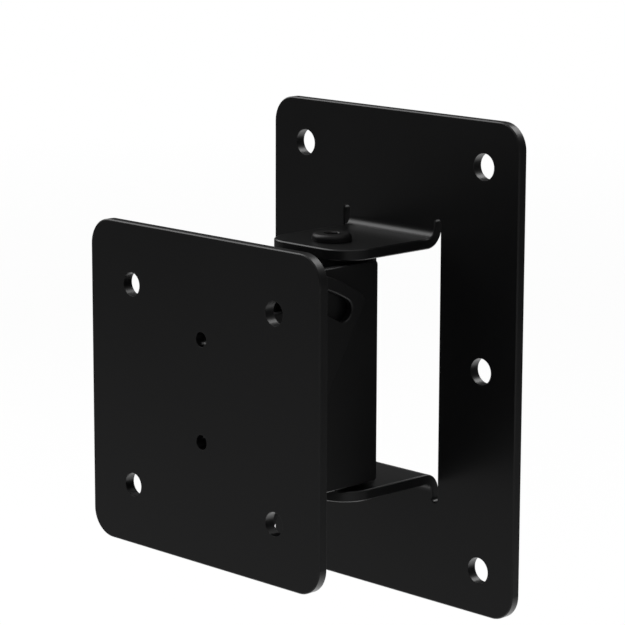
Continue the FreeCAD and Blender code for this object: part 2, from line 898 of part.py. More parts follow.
def make_bracket_weld(label, above):
    """Bead along the bracket's web on the speaker plate's back."""
    piece = body(label)
    edge = web_top if above else web_foot
    upward = 1.0 if above else -1.0
    leg = float(bracket_weld_leg)
    back = -float(web_back)
    side = sketch_on(piece, "YZ_Plane", "bead_side")
    hollow = (back + leg, edge + upward * leg)
    outline(
        side,
        (back, edge),
        [(back + leg, edge), (hollow, -upward, (back, edge + upward * leg)), (back, edge)],
    )
    pad(piece, side, bracket_weld_length, both_ways=True, name="bead")


def check_pieces():
    """Stop if any feature failed or any piece isn't a whole, valid solid."""
    for item in doc.Objects:
        if "Invalid" in item.State or "Error" in item.State:
            raise RuntimeError(f"{item.Label}: {item.State}")
    for piece in pieces:
        shape = piece.Shape
        if shape.isNull() or not shape.isValid() or len(shape.Solids) != 1:
            raise RuntimeError(f"{piece.Label}: not one valid solid")


def build():
    make_wall_plate()
    make_swivel()
    for side, right in (("left", False), ("right", True)):
        make_cheek(f"{side}_yoke_cheek", right)
        make_hub_weld(f"{side}_hub_weld", right)
        make_rear_weld(f"{side}_rear_weld", right)
    make_bracket()
    make_speaker_plate()
    make_bracket_weld("upper_bracket_weld", True)
    make_bracket_weld("lower_bracket_weld", False)
    for side, right in (("left", False), ("right", True)):
        make_cross_screws(side, right)
    doc.recompute()
    check_pieces()
    for piece in pieces:
        piece.Shape.exportStep(f"parts/{piece.Label}.step")
        box = piece.Shape.BoundBox
        print(
            f"{piece.Label}: volume {piece.Shape.Volume:.1f}, x {box.XMin:.2f} {box.XMax:.2f},"
            f" y {box.YMin:.2f} {box.YMax:.2f}, z {box.ZMin:.2f} {box.ZMax:.2f}"
        )


build()
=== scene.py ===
# %% [markdown]
# # A speaker wall bracket in Blender
#
# This notebook dresses a wall bracket for a loudspeaker. The sheet-metal parts come in ready
# made as a fixed frame in metres, with +Z up and the wall at y = 0. Three bodies move: the wall
# plate stands still, the hub swivels between its tabs, and the head tilts on the hub. Each step
# says what a piece or a finish is on the real bracket, how it could be made, and why one way
# was chosen.

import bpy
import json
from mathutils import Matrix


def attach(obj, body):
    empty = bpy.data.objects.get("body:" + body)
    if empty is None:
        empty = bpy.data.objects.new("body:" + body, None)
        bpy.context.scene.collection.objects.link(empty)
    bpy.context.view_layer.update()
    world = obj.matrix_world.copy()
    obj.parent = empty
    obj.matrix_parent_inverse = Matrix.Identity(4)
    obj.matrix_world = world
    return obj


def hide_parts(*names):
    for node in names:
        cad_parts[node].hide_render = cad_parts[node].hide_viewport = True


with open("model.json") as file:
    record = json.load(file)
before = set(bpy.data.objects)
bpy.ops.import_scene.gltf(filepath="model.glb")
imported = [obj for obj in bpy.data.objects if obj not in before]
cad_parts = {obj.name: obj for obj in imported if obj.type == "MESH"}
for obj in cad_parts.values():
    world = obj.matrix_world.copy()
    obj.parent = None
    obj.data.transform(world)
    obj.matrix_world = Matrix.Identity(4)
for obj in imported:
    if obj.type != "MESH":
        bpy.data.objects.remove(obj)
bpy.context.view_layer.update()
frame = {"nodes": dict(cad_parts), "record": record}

import json
import math

import bpy
import numpy as np
from mathutils import Matrix, Vector

scene = bpy.context.scene
nodes = frame["nodes"]
MM = 0.001

# %% [markdown]
# ## Camera
#
# The photograph was taken from the front right, a little above the bracket, with a long lens:
# parallel edges hardly converge. Three angles, a focal length in pixels and a distance were
# solved from the plates' edges and holes. A camera could be aimed with a Track To constraint,
# but a solved camera is exact only if its own axes are used, so the matrix is written out.

# %% Solved camera
IMAGE_SIZE = 625
SENSOR_WIDTH = 36.0
AZIMUTH = math.radians(45.605)
ELEVATION = math.radians(11.239)
ROLL = math.radians(-0.177)
FOCAL_PIXELS = 2763.554
SIDE_STEP, RISE, DISTANCE = -32.355 * MM, 14.731 * MM, 1051.686 * MM


def camera_matrix():
    """Axes of a camera on a sphere: right is level, back points from the bracket to the lens,
    up is back x right. Both are then rolled, and the place is a sum of steps along them."""
    right = Vector((math.cos(AZIMUTH), math.sin(AZIMUTH), 0))
    back = Vector((
        math.sin(AZIMUTH) * math.cos(ELEVATION),
        -math.cos(AZIMUTH) * math.cos(ELEVATION),
        math.sin(ELEVATION),
    ))
    up = back.cross(right)
    c, s = math.cos(ROLL), math.sin(ROLL)
    right, up = c * right - s * up, s * right + c * up
    place = right * SIDE_STEP + up * RISE + back * DISTANCE
    matrix = Matrix((right, up, back)).transposed().to_4x4()
    matrix.translation = place
    return matrix


lens = bpy.data.cameras.new("camera")
lens.sensor_width = SENSOR_WIDTH
lens.lens = SENSOR_WIDTH * FOCAL_PIXELS / IMAGE_SIZE
lens.clip_start, lens.clip_end = 0.05, 100
camera = bpy.data.objects.new("camera", lens)
camera.matrix_world = camera_matrix()
scene.collection.objects.link(camera)
scene.camera = camera
scene.view_settings.view_transform = "Standard"
print("lens", round(lens.lens, 2), "mm")
print("camera at", [round(v, 3) for v in camera.matrix_world.translation])

# %% [markdown]
# ## Node helpers
#
# Every finish below is a small network of shader nodes. Clicking them together by hand works
# too, but a helper that adds a node, sets its values and plugs in its inputs keeps each finish
# down to a few readable lines.


# %% Helpers for shader nodes
def plug(tree, value, socket):
    """Feed an input from another socket, or set it to a number, a vector or a colour."""
    if isinstance(value, bpy.types.NodeSocket):
        tree.links.new(value, socket)
    else:
        socket.default_value = value


def add_node(tree, kind, settings=None, **inputs):
    """Add a node. Settings are its options; inputs are given by name."""
    made = tree.nodes.new(kind)
    for name, value in (settings or {}).items():
        setattr(made, name, value)
    for name, value in inputs.items():
        plug(tree, value, made.inputs[name.replace("_", " ")])
    return made


def compute(tree, operation, *values):
    """One Math node on one or two numbers or sockets."""
    made = add_node(tree, "ShaderNodeMath", {"operation": operation})
    for socket, value in zip(made.inputs, values):
        plug(tree, value, socket)
    return made.outputs[0]


def measured(tree, operation, *vectors):
    """A number from one or two vectors: a length, a distance or a dot product."""
    made = add_node(tree, "ShaderNodeVectorMath", {"operation": operation})
    for socket, vector in zip(made.inputs, vectors):
        plug(tree, vector, socket)
    return made.outputs["Value"]


def spread(tree, value, low, high, to_low, to_high):
    """Stretch a value from one range to another and clamp it there."""
    made = add_node(tree, "ShaderNodeMapRange")
    for socket, number in zip(made.inputs, (value, low, high, to_low, to_high)):
        plug(tree, number, socket)
    return made.outputs[0]


def noise(tree, place, size, detail=2.0):
    """Cloudy noise whose blotches are about size metres across."""
    made = add_node(tree, "ShaderNodeTexNoise", Vector=place, Scale=0.5 / size, Detail=detail)
    return made.outputs[0]


def blend_colours(tree, factor, low, high):
    """A colour between two, by a factor from 0 to 1. A Mix node keeps its colours in inputs
    6 and 7 and gives the blend at output 2."""
    made = add_node(tree, "ShaderNodeMix", {"data_type": "RGBA"})
    for index, value in ((0, factor), (6, low), (7, high)):
        plug(tree, value, made.inputs[index])
    return made.outputs[2]


def new_finish(name):
    """An empty material, its node tree and a socket with the object's own coordinates."""
    material = bpy.data.materials.new(name)
    material.use_nodes = True
    tree = material.node_tree
    tree.nodes.clear()
    place = tree.nodes.new("ShaderNodeTexCoord").outputs["Object"]
    return material, tree, place


def finish_with(tree, shader):
    """Plug a shader into the material's output."""
    output = tree.nodes.new("ShaderNodeOutputMaterial")
    tree.links.new(shader, output.inputs["Surface"])


# %% [markdown]
# ## Powder coat
#
# The steel sheet is finished in smooth, satin black powder coat. Powder melts into a film about
# 80 micrometres thick that never lies quite flat: it has orange peel, a ripple two or three
# millimetres long and a few micrometres high, and a much finer grain. It also draws back from
# sharp edges, which come out rounder, thinner and drier. The edges are also painted paler: that
# is a painted highlight. An image texture could show the film, but noise on object coordinates
# fits every sheet at the real scale, without seams.

# %% Rounded edges
EDGE_SAMPLES = 6
EDGE_FROM, EDGE_FULL = 0.995, 0.86


def rounded_edges(tree, radius):
    """A normal that runs round every edge, and how much of an edge a point is, 0 to 1.
    The edge amount grows as the rounded normal turns away from the true one."""
    soft = add_node(tree, "ShaderNodeBevel", {"samples": EDGE_SAMPLES}, Radius=radius)
    true = tree.nodes.new("ShaderNodeNewGeometry").outputs["True Normal"]
    alike = measured(tree, "DOT_PRODUCT", soft.outputs[0], true)
    return soft.outputs[0], spread(tree, alike, EDGE_FROM, EDGE_FULL, 0.0, 1.0)


def bumped(tree, height, depth, normal=None):
    """A normal tilted by a height map, whose full range stands for depth metres."""
    bump = add_node(tree, "ShaderNodeBump", Strength=1.0, Distance=depth, Height=height)
    if normal is not None:
        tree.links.new(normal, bump.inputs["Normal"])
    return bump.outputs[0]


# %% Satin black powder coat
FILM_ROUND = 0.35 * MM
CLOUD_SIZE, PEEL_SIZE, GRAIN_SIZE = 40 * MM, 2.2 * MM, 0.25 * MM
PEEL_HEIGHT, GRAIN_HEIGHT = 0.006 * MM, 0.002 * MM
FILM_DEEP, FILM_PALE = (0.0025, 0.0025, 0.0027, 1), (0.0040, 0.0040, 0.0043, 1)
# The edge colour is a painted highlight: it makes every edge look as if light catches it.
FILM_EDGE_HIGHLIGHT = (0.012, 0.012, 0.0125, 1)
FILM_ROUGHNESS = (0.30, 0.36)
EDGE_DULLING = 0.20
CLOUD_RANGE = (0.3, 0.7)


def make_powder_coat():
    """Black film with orange peel and grain, duller along its edges and painted paler there, a
    painted highlight.
    """
    material, tree, place = new_finish("satin_black_powder_coat")
    soft_normal, edge = rounded_edges(tree, FILM_ROUND)
    clouds = noise(tree, place, CLOUD_SIZE, 3.0)
    peel = noise(tree, place, PEEL_SIZE, 1.0)
    grain = noise(tree, place, GRAIN_SIZE, 2.0)
    film = blend_colours(tree, clouds, FILM_DEEP, FILM_PALE)
    # Painted highlight: every edge is blended towards the paler edge colour.
    colour = blend_colours(tree, edge, film, FILM_EDGE_HIGHLIGHT)
    rough = spread(tree, clouds, *CLOUD_RANGE, *FILM_ROUGHNESS)
    rough = compute(tree, "ADD", rough, compute(tree, "MULTIPLY", edge, EDGE_DULLING))
    rippled = bumped(tree, peel, PEEL_HEIGHT, soft_normal)
    grained = bumped(tree, grain, GRAIN_HEIGHT, rippled)
    shader = add_node(tree, "ShaderNodeBsdfPrincipled", Base_Color=colour,
                      Roughness=rough, Normal=grained)
    finish_with(tree, shader.outputs[0])
    return material


powder_coat = make_powder_coat()
print("powder coat nodes:", len(powder_coat.node_tree.nodes))

# %% [markdown]
# ## Black oxide steel
#
# Screws, nuts and washers are not painted: they are blackened in a hot salt bath, which leaves
# a thin, slightly brown-black layer that still shows the metal below. It picks up oil and
# fingerprints unevenly and wears bare on edges. A clear coat over steel could show it too, but
# a dark, mostly metallic surface with a blotchy sheen is nearer to how the layer behaves.

# %% Black oxide on the screws
OXIDE_ROUND = 0.25 * MM
BLOTCH_SIZE, GRIT_SIZE, GRIT_HEIGHT = 3 * MM, 0.15 * MM, 0.003 * MM
OXIDE_DEEP, OXIDE_PALE = (0.010, 0.010, 0.011, 1), (0.022, 0.021, 0.021, 1)
OXIDE_EDGE = (0.05, 0.049, 0.048, 1)
OXIDE_ROUGHNESS, OXIDE_METALLIC = (0.34, 0.46), 0.7


def make_black_oxide():
    """Dark metal with a blotchy sheen and bare-looking edges."""
    material, tree, place = new_finish("black_oxide_steel")
    soft_normal, edge = rounded_edges(tree, OXIDE_ROUND)
    blotches = noise(tree, place, BLOTCH_SIZE, 3.0)
    grit = noise(tree, place, GRIT_SIZE, 2.0)
    film = blend_colours(tree, blotches, OXIDE_DEEP, OXIDE_PALE)
    colour = blend_colours(tree, edge, film, OXIDE_EDGE)
    rough = spread(tree, blotches, *CLOUD_RANGE, *OXIDE_ROUGHNESS)
    shader = add_node(tree, "ShaderNodeBsdfPrincipled", Base_Color=colour, Roughness=rough,
                      Metallic=OXIDE_METALLIC, Normal=bumped(tree, grit, GRIT_HEIGHT, soft_normal))
    finish_with(tree, shader.outputs[0])
    return material


black_oxide = make_black_oxide()
print("black oxide nodes:", len(black_oxide.node_tree.nodes))

# %% [markdown]
# ## Black nylon
#
# The bushes and spacers are moulded from black nylon. It is duller than the paint and carries
# the faint, pearly texture of an etched mould. A plain black would look like a hole beside the
# paint; two noises, one for the texture and one for the sheen, give it a surface of its own.

# %% Black nylon on bushes and spacers
PEARL_SIZE, PEARL_HEIGHT, SMEAR_SIZE = 0.4 * MM, 0.006 * MM, 6 * MM
NYLON_DEEP, NYLON_PALE = (0.006, 0.006, 0.0065, 1), (0.010, 0.010, 0.0105, 1)
NYLON_ROUGHNESS = (0.48, 0.58)


def make_nylon():
    """Dull black plastic with a soft sheen and a faint pearly texture."""
    material, tree, place = new_finish("black_nylon")
    pearls = noise(tree, place, PEARL_SIZE, 1.0)
    clouds = noise(tree, place, SMEAR_SIZE, 2.0)
    colour = blend_colours(tree, clouds, NYLON_DEEP, NYLON_PALE)
    rough = spread(tree, clouds, *CLOUD_RANGE, *NYLON_ROUGHNESS)
    shader = add_node(tree, "ShaderNodeBsdfPrincipled", Base_Color=colour, Roughness=rough,
                      Normal=bumped(tree, pearls, PEARL_HEIGHT))
    finish_with(tree, shader.outputs[0])
    return material


nylon = make_nylon()
print("nylon nodes:", len(nylon.node_tree.nodes))

# %% [markdown]
# ## Put the finishes on
#
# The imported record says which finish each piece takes. One loop over its list is shorter than
# naming every piece, and a piece that is added later is finished without another line.

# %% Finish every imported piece
finishes = {"powder_coat": powder_coat, "black_steel": black_oxide, "nylon": nylon}
record = frame["record"]
slots = {subpart["node"]: subpart["material_slot"] for subpart in record["subparts"]}
for node, slot in slots.items():
    mesh = nodes[node].data
    mesh.materials.clear()
    mesh.materials.append(finishes[slot])
print("finished", len(slots), "pieces")

# %% [markdown]
# ## Surfaces from grids
#
# Screws, nuts and weld beads get a detailed piece each. Their surfaces are rings of points: one
# number counts the rings, the other goes once round. Sculpting or modelling by hand would reach
# the same shapes, but here a formula gives all the points of a piece in one array. The sizes of
# these pieces are in millimetres, as on a drawing; surface_piece turns them into metres.


# %% Rings of points become a closed piece
def grid_faces(rings, around, closed=False):
    """Quads between neighbouring rings, once round. If closed, the last ring joins the first."""
    index = np.arange(rings * around).reshape(rings, around)
    following = np.roll(index, -1, axis=1)
    below, below_following = np.roll(index, -1, axis=0), np.roll(following, -1, axis=0)
    faces = np.stack([index, below, below_following, following], axis=2)
    return (faces if closed else faces[:-1]).reshape(-1, 4)


# %% A detailed piece in place of a packed one
SHARP_TURN = math.radians(32)
body_of = {
    node: body for body, members in record["behaviour"]["bodies"].items() for node in members
}


def surface_piece(node, points, closed=False):
    """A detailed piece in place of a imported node, from points in millimetres (ring, place, xyz).
    The ends are capped, and the faces look outwards: the volume they enclose, a sixth of the sum
    of a . (b x c) over their triangles, has to be positive."""
    rings, around = points.shape[:2]
    corners = points.reshape(-1, 3) * MM
    quads = grid_faces(rings, around, closed)
    a, b, c, d = (corners[quads[:, i]] - corners.mean(axis=0) for i in range(4))
    volume = (np.sum(a * np.cross(b, c)) + np.sum(a * np.cross(c, d))) / 6
    last = (rings - 1) * around
    caps = [] if closed else [np.arange(around), np.arange(last + around - 1, last - 1, -1)]
    faces = [*quads, *caps] if volume > 0 else [face[::-1] for face in (*quads, *caps)]
    mesh = bpy.data.meshes.new(f"{node}_detail")
    mesh.from_pydata(corners, [], [face.tolist() for face in faces])
    mesh.polygons.foreach_set("use_smooth", np.ones(len(faces), dtype=bool))
    mesh.set_sharp_from_angle(angle=SHARP_TURN)
    mesh.materials.append(finishes[slots[node]])
    piece = bpy.data.objects.new(f"{node}_detail", mesh)
    scene.collection.objects.link(piece)
    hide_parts(node)
    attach(piece, body_of[node])
    return piece


# %% [markdown]
# ## Screws and nuts
#
# The screws are cold-headed: a low round head with a rounded rim and a hexagon socket with a
# chamfered mouth, then a plain shank where it runs in an ear, then a rolled V thread. Every point
# of a screw is a distance from its axis, so a profile of rings is enough. A nut is a hexagonal
# prism cut by a cone at both ends, which leaves the curved corners that every real nut shows.

# %% Turned pieces
# A turned piece is made upright on the z axis, with its seat at z = 0 and its head above it.
AROUND = 96
M8_PITCH, M6_PITCH = 1.25, 1.0
ONCE_ROUND = np.linspace(0, 2 * np.pi, AROUND, endpoint=False)[None, :]


def to_flat(angle):
    """Angle from the middle of the nearest flat of a hexagon."""
    return (angle + np.pi / 6) % (np.pi / 3) - np.pi / 6


def rings_about_z(distance, height):
    """Points at a distance from the z axis and at a height, both given by ring and by angle."""
    height = height + 0 * ONCE_ROUND
    x, y = distance * np.cos(ONCE_ROUND), distance * np.sin(ONCE_ROUND)
    return np.stack([x, y, height], axis=2)


def turned(profile, pitch=M8_PITCH):
    """Rings about the z axis from rows of height, radius, hexagon share and thread depth:
    distance = radius x (1 - share + share / cos(angle to flat)) - depth x V, where V runs from 1
    to 0 and back once per pitch of height and once per turn."""
    columns = np.array(profile, dtype=float).T
    height, radius, share, depth = (column[:, None] for column in columns)
    valley = np.abs(2 * ((height / pitch - ONCE_ROUND / (2 * np.pi)) % 1) - 1)
    distance = radius * (1 - share + share / np.cos(to_flat(ONCE_ROUND))) - depth * valley
    return rings_about_z(distance, height)


# %% A head with a hexagon socket
HEAD_RADIUS, HEAD_HEIGHT, HEAD_ROUND, SEAT_BREAK = 7.5, 2.8, 1.7, 0.2
SOCKET_ACROSS, SOCKET_DEPTH, DRILL_POINT = 5.0, 1.8, 0.5
MOUTH_DEPTH, MOUTH_SHARE = 0.35, 1.2
ON_AXIS = 0.05
RIM_STEPS = 12


def head_rows():
    """From the cone at the socket's bottom up its walls and over the rounded rim to the seat."""
    flat, floor = SOCKET_ACROSS / 2, HEAD_HEIGHT - SOCKET_DEPTH
    turn = np.radians(np.linspace(90, 0, RIM_STEPS))
    rim_height = HEAD_HEIGHT - HEAD_ROUND + HEAD_ROUND * np.sin(turn)
    rim_radius = HEAD_RADIUS - HEAD_ROUND + HEAD_ROUND * np.cos(turn)
    rounded = [(height, radius, 0, 0) for height, radius in zip(rim_height, rim_radius)]
    socket = [(floor - DRILL_POINT, ON_AXIS, 0, 0), (floor, flat, 1, 0),
              (HEAD_HEIGHT - MOUTH_DEPTH, flat, 1, 0), (HEAD_HEIGHT, flat * MOUTH_SHARE, 0, 0)]
    seat = [(SEAT_BREAK, HEAD_RADIUS, 0, 0), (0.0, HEAD_RADIUS - SEAT_BREAK, 0, 0)]
    return socket + rounded + seat


# %% A shank with a thread
STEPS_A_PITCH = 14
TIP_CHAMFER = 0.9
NARROW_SHARE, TIP_SHARE = 1.2, 1.25


def thread_rows(radius, start, end, pitch, depth):
    """Rows down a shank: plain to start, then a thread that grows over one pitch and runs out in
    a chamfered tip."""
    drop = np.arange(start, end, pitch / STEPS_A_PITCH)
    grown = np.clip((drop - start) / pitch, 0, 1)
    tip = np.clip((drop - end + TIP_CHAMFER) / TIP_CHAMFER, 0, 1)
    narrowed = radius - depth * NARROW_SHARE * tip
    rows = np.stack([-drop, narrowed, 0 * drop, depth * grown * (1 - tip)], axis=1)
    point = [(-end, radius - depth * TIP_SHARE, 0, 0), (-end, ON_AXIS, 0, 0)]
    return [(0.0, radius, 0, 0), *rows.tolist(), *point]


def cross_placed(points, side, seat, axis):
    """Stand a turned piece on a cross axis: its own z points outwards, its seat is at a distance
    from the middle, and the axis is given by y and z."""
    x, y, z = points[..., 0], points[..., 1], points[..., 2]
    return np.stack([side * (seat + z), axis[0] + side * x, axis[1] + y], axis=2)


# %% Cross screws
# The pivot and lock axes run from left to right and are given by y and z. A seat is how far from
# the middle a screw's head rests: on the ear for the pivot, on a washer for the lock.
SIDES = (("left", -1), ("right", 1))
PIVOT, LOCK = (-81.0, -23.0), (-74.547, 33.634)
PIVOT_SEAT, LOCK_SEAT, SCREW_TIP = 23.52, 25.0, 9.0
CHEEK_INNER = 16.5
M8_RADIUS, M8_THREAD = 4.0, 0.62
for side_name, side in SIDES:
    for kind, seat, axis in (("tilt_pivot", PIVOT_SEAT, PIVOT), ("lock", LOCK_SEAT, LOCK)):
        plain, reach = seat - CHEEK_INNER, seat - SCREW_TIP
        rows = head_rows() + thread_rows(M8_RADIUS, plain, reach, M8_PITCH, M8_THREAD)
        placed = cross_placed(turned(rows), side, seat, axis)
        screw = surface_piece(f"{side_name}_{kind}_screw", placed)
print("cross screw faces:", len(screw.data.polygons))

# %% Swivel screw and its barrel nut
# The two share one upright axis: a 6 mm screw from above into a 10 mm barrel from below.
SWIVEL_Y, TAB_OUTER = -35.5, 47.05
M6_RADIUS, M6_THREAD, M6_PLAIN, M6_LENGTH = 3.0, 0.5, 14.0, 30.0
BARREL_RADIUS, BARREL_LENGTH, BARREL_BREAK = 5.0, 93.9, 0.4
BORE, BORE_DEPTH, BORE_POINT = 3.05, 35.0, 1.5

rows = head_rows() + thread_rows(M6_RADIUS, M6_PLAIN, M6_LENGTH, M6_PITCH, M6_THREAD)
surface_piece("swivel_screw", turned(rows, M6_PITCH) + np.array([0, SWIVEL_Y, TAB_OUTER]))

barrel_rows = head_rows() + [
    (0.0, BARREL_RADIUS, 0, 0),
    (BARREL_BREAK - BARREL_LENGTH, BARREL_RADIUS, 0, 0),
    (-BARREL_LENGTH, BARREL_RADIUS - BARREL_BREAK, 0, 0),
    (-BARREL_LENGTH, BORE + BARREL_BREAK, 0, 0),
    (BARREL_BREAK - BARREL_LENGTH, BORE, 0, 0),
    (BORE_DEPTH - BARREL_LENGTH, BORE, 0, 0),
    (BORE_DEPTH - BARREL_LENGTH + BORE_POINT, ON_AXIS, 0, 0),
]
head_down = turned(barrel_rows) * (1, -1, -1)
surface_piece("swivel_barrel_nut", head_down + np.array([0, SWIVEL_Y, -TAB_OUTER]))
print("swivel head top at", round(TAB_OUTER + HEAD_HEIGHT, 2), "mm")

# %% Nuts
NUT_ACROSS, NUT_HEIGHT, NUT_BORE = 13.0, 6.5, 4.05
CONE_FOOT_SHARE, CONE_LEAN, CONE_ZONE = 0.475, math.radians(60), 1.0
BORE_CHAMFER = 0.6
END_STEPS = 9


def nut_rings(across, height, bore):
    """Rings up the outside and down the bore. The outside is the nearer of the hexagon and a cone
    that leans 30 degrees at each end: distance = min(flat / cos(angle), foot + depth x tan 60)."""
    zone = np.linspace(0, CONE_ZONE, END_STEPS)
    rise = np.concatenate([zone, zone + height - CONE_ZONE])[:, None]
    from_end = np.minimum(rise, height - rise)
    cone = CONE_FOOT_SHARE * across + from_end * math.tan(CONE_LEAN)
    outside = np.minimum(across / 2 / np.cos(to_flat(ONCE_ROUND)), cone)
    mouth = bore + BORE_CHAMFER
    inside = np.array([mouth, bore, bore, mouth])[:, None] + 0 * ONCE_ROUND
    sink = np.array([height, height - BORE_CHAMFER, BORE_CHAMFER, 0.0])[:, None]
    return rings_about_z(np.concatenate([outside, inside]), np.concatenate([rise, sink]))


for side_name, side in SIDES:
    for kind, axis in (("tilt_pivot", PIVOT), ("lock", LOCK)):
        rings = nut_rings(NUT_ACROSS, NUT_HEIGHT, NUT_BORE)
        placed = cross_placed(rings, side, CHEEK_INNER - NUT_HEIGHT, axis)
        nut = surface_piece(f"{side_name}_{kind}_nut", placed, closed=True)
print("nut faces:", len(nut.data.polygons))

# %% [markdown]
# ## Weld beads
#
# The cheeks are welded to the tube and the bracket's web to the speaker plate. A bead laid by
# hand freezes in overlapping crescents, a millimetre or two apart, and swells and thins a little
# along its length. The paint rounds the crescents but doesn't hide them. A displacement map could
# show them; as geometry they also change the outline and catch light properly.

# %% Beads with frozen ripples
# WANDER_RATES are in radians a millimetre; END_LENGTH is how long a bead takes to run out.
RIPPLE_PITCH, RIPPLE_HEIGHT, CRESCENT = 1.7, 0.16, 1.1
WANDER_RATES, WANDER_LEAST, WANDER_MOST = (0.23, 0.51, 0.9), 0.1, 0.3
SWELL_SHARE = 0.3
SECTIONS_A_MM, FACE_STEPS = 9, 17
END_LENGTH, END_LEAST = 2.0, 0.02


def wander(run, random):
    """A slow, uneven shift along the run, from three waves with random heights and starts."""
    waves = [random.uniform(WANDER_LEAST, WANDER_MOST)
             * np.sin(run * rate + random.uniform(0, 6)) for rate in WANDER_RATES]
    return sum(waves)


def outward_of(start, finish, corner):
    """The direction square to the line from start to finish that leads away from the corner."""
    square = np.array([finish[1] - start[1], start[0] - finish[0]])
    away = start - corner + finish - corner
    return square * np.sign(np.dot(square, away)) / np.hypot(*square)


def bead_rings(start, finish, corner, half_length, swell, seed):
    """Sections of a bead along its run u. Across its face, t goes from start to finish:
    point = start + t (finish - start) + sin(pi t) x (swell + ripple) outwards, with
    ripple = RIPPLE_HEIGHT |sin(pi (u + shift + CRESCENT sin(pi t)) / RIPPLE_PITCH)|. The back
    goes through the corner. Near both ends the section shrinks to it on a quarter circle."""
    start, finish, corner = (np.array(point, dtype=float) for point in (start, finish, corner))
    sections = int(half_length * SECTIONS_A_MM)
    run = np.linspace(-half_length, half_length, sections)[:, None]
    across = np.linspace(0, 1, FACE_STEPS)[None, :]
    crown = np.sin(np.pi * across)
    shift = wander(run, np.random.default_rng(seed))
    phase = (run + shift + CRESCENT * crown) / RIPPLE_PITCH
    ripple = RIPPLE_HEIGHT * np.abs(np.sin(np.pi * phase))
    lift = crown * (swell * (1 + SWELL_SHARE * shift) + ripple)
    face = start + across[..., None] * (finish - start)
    face = face + lift[..., None] * outward_of(start, finish, corner)
    back = np.broadcast_to(corner, (sections, 1, 2))
    section = np.concatenate([face, back], axis=1)
    end = np.clip((half_length - np.abs(run)) / END_LENGTH, 0, 1)
    shrink = np.sqrt(np.clip(1 - (1 - end) ** 2, END_LEAST, 1))[..., None]
    return run, corner + (section - corner) * shrink


def upright_bead(node, start, finish, corner, half_length, swell, seed):
    """A bead that runs up and down; its section is given in plan, x and y."""
    run, section = bead_rings(start, finish, corner, half_length, swell, seed)
    level = np.broadcast_to(run, section.shape[:2])[..., None]
    return surface_piece(node, np.concatenate([section, level], axis=2))


def level_bead(node, start, finish, corner, half_length, swell, seed):
    """A bead that runs from left to right; its section is given from the side, y and z."""
    run, section = bead_rings(start, finish, corner, half_length, swell, seed)
    place = np.broadcast_to(run, section.shape[:2])[..., None]
    return surface_piece(node, np.concatenate([place, section], axis=2))


# %% Welds between tube and cheeks
# Each bead fills a corner: it starts on the cheek and finishes on the tube. The inner ones sit in
# front of the tube, the outer ones on the cheeks' rear edges.
CHEEK_WELD_HALF = 38.0
for side_name, side in SIDES:
    upright_bead(f"{side_name}_hub_weld", half_length=CHEEK_WELD_HALF, swell=0.25, seed=3 + side,
                 start=(side * 16.5, -46.5), finish=(side * 13.83, -44.5),
                 corner=(side * 16.3, -40.5))
    upright_bead(f"{side_name}_rear_weld", half_length=CHEEK_WELD_HALF, swell=0.2, seed=7 + side,
                 start=(side * 18.4, -30.8), finish=(side * 14.37, -27.4),
                 corner=(side * 15.9, -30.7))

# %% Welds between bracket and speaker plate
# These start on the edge of the bracket's web and finish on the plate's back, a little hollow.
BRACKET_WELD_HALF, HOLLOW = 15.0, -0.2
level_bead("upper_bracket_weld", half_length=BRACKET_WELD_HALF, swell=HOLLOW, seed=11,
           start=(-94.4, 43.0), finish=(-96.6, 45.2), corner=(-96.55, 43.05))
bead = level_bead("lower_bracket_weld", half_length=BRACKET_WELD_HALF, swell=HOLLOW, seed=12,
                  start=(-94.4, -50.06), finish=(-96.6, -52.26), corner=(-96.55, -50.1))
print("bead faces:", len(bead.data.polygons))

# %% [markdown]
# ## Floor, backdrop and light
#
# The photograph is a cut-out on pure white. A white sheet bright enough to clip would flood the
# black paint with light, so the white is only what the camera sees, straight on or through
# something clear: Light Path tells the shader who is looking. Dull surfaces get a plain, even
# level, at which a colour comes out about as it is written. Satin black shows mostly what it
# mirrors, so mirrored rays see a dim studio: a dark room, a floor that grows paler towards the
# bracket and the lens, and a pool of lamp light on the floor behind it, which the lower corners
# and the holes pick up. The floor catches the bracket's soft shadow. Two soft lamps, one behind
# and above and one at the left, put the highlights into the bends and along the edges.

# %% White world
WHITE = (1, 1, 1, 1)
LINE_OF_SIGHT = -Vector(camera.matrix_world.col[2][:3])
SHEET_EDGE, SHEET_FULL = 0.962, 0.980
PLAIN_LEVEL = 0.85
ROOM_LEVEL, CEILING_LEVEL = 0.05, 0.48
ROOM_HEIGHT, CEILING_HEIGHT = 0.35, 0.95


